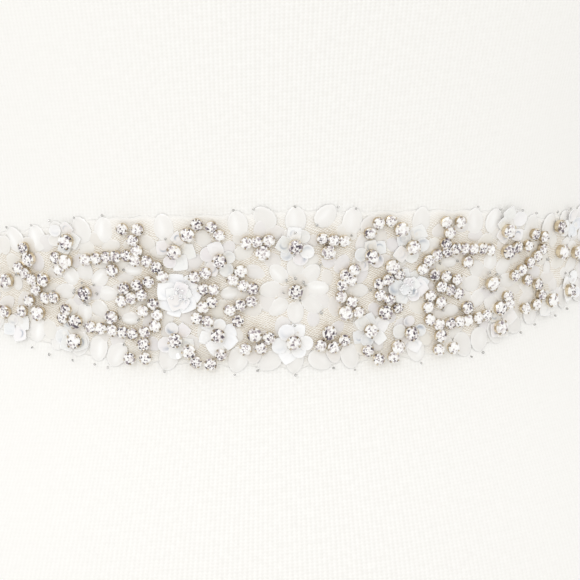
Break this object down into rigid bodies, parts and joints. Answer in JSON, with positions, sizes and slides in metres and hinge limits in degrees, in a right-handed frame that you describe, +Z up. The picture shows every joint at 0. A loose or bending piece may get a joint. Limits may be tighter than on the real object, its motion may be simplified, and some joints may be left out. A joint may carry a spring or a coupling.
{
  "type": "bridal sash on a dress form",
  "caption": "Beaded bridal sash with flowers and scrolls, worn round the waist of a limbless jersey-covered dress form.",
  "frame": {"origin": "middle of the dress form's flat base", "axes": "+Z up, the front of the form faces -Y, +X is the wearer's left"},
  "size_m": [0.3384, 0.2567, 0.7],
  "materials": {
    "jersey": "fine white single jersey, matte",
    "net": "fine beige net, sheer",
    "satin": "ivory satin ribbon, soft sheen",
    "wire": "nickel-plated wire",
    "petal": "milky translucent, polished",
    "sequin": "clear and white with a pearl sheen",
    "crystal": "foiled, cut stones",
    "claw": "silver-plated claw cups, warm in shade",
    "seed_bead": "silver-lined glass seed beads",
    "thread": "fine ivory sewing thread"
  },
  "bodies": {
    "root": {"dress_form": "jersey", "beaded_panel": "net", "ribbon_left": "satin", "ribbon_right": "satin", "hook_upper": "wire", "hook_lower": "wire", "eye_upper": "wire", "eye_lower": "wire"}
  },
  "joints": []
}
